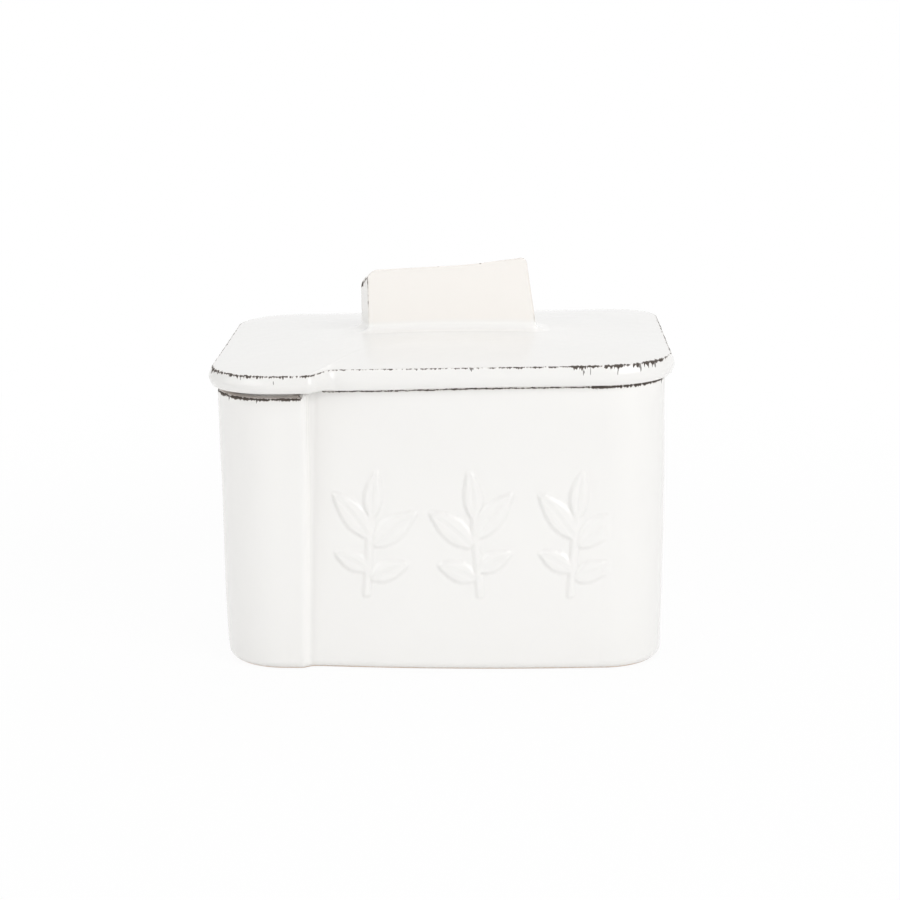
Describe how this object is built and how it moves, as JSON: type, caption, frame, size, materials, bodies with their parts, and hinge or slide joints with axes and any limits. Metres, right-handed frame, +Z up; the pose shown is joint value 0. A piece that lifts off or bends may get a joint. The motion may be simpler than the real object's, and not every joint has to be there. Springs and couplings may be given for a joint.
{
  "type": "tea canister",
  "caption": "Glazed ceramic storage jar with straight sides, a rounded column at a front corner and a loose overhanging lid with a slab handle.",
  "frame": {"origin": "on the table, under the middle of the whole object's box", "axes": "+X to the right along the flat front, +Y to the back, +Z up"},
  "size_m": [0.1616, 0.1312, 0.1394],
  "materials": {
    "jar_glaze": "glossy white glaze, broken to dark brown along the rim",
    "lid_glaze": "glossy white glaze, broken to dark brown along the edges"
  },
  "bodies": {
    "root": {"jar": "jar_glaze", "lid": "lid_glaze"}
  },
  "joints": []
}
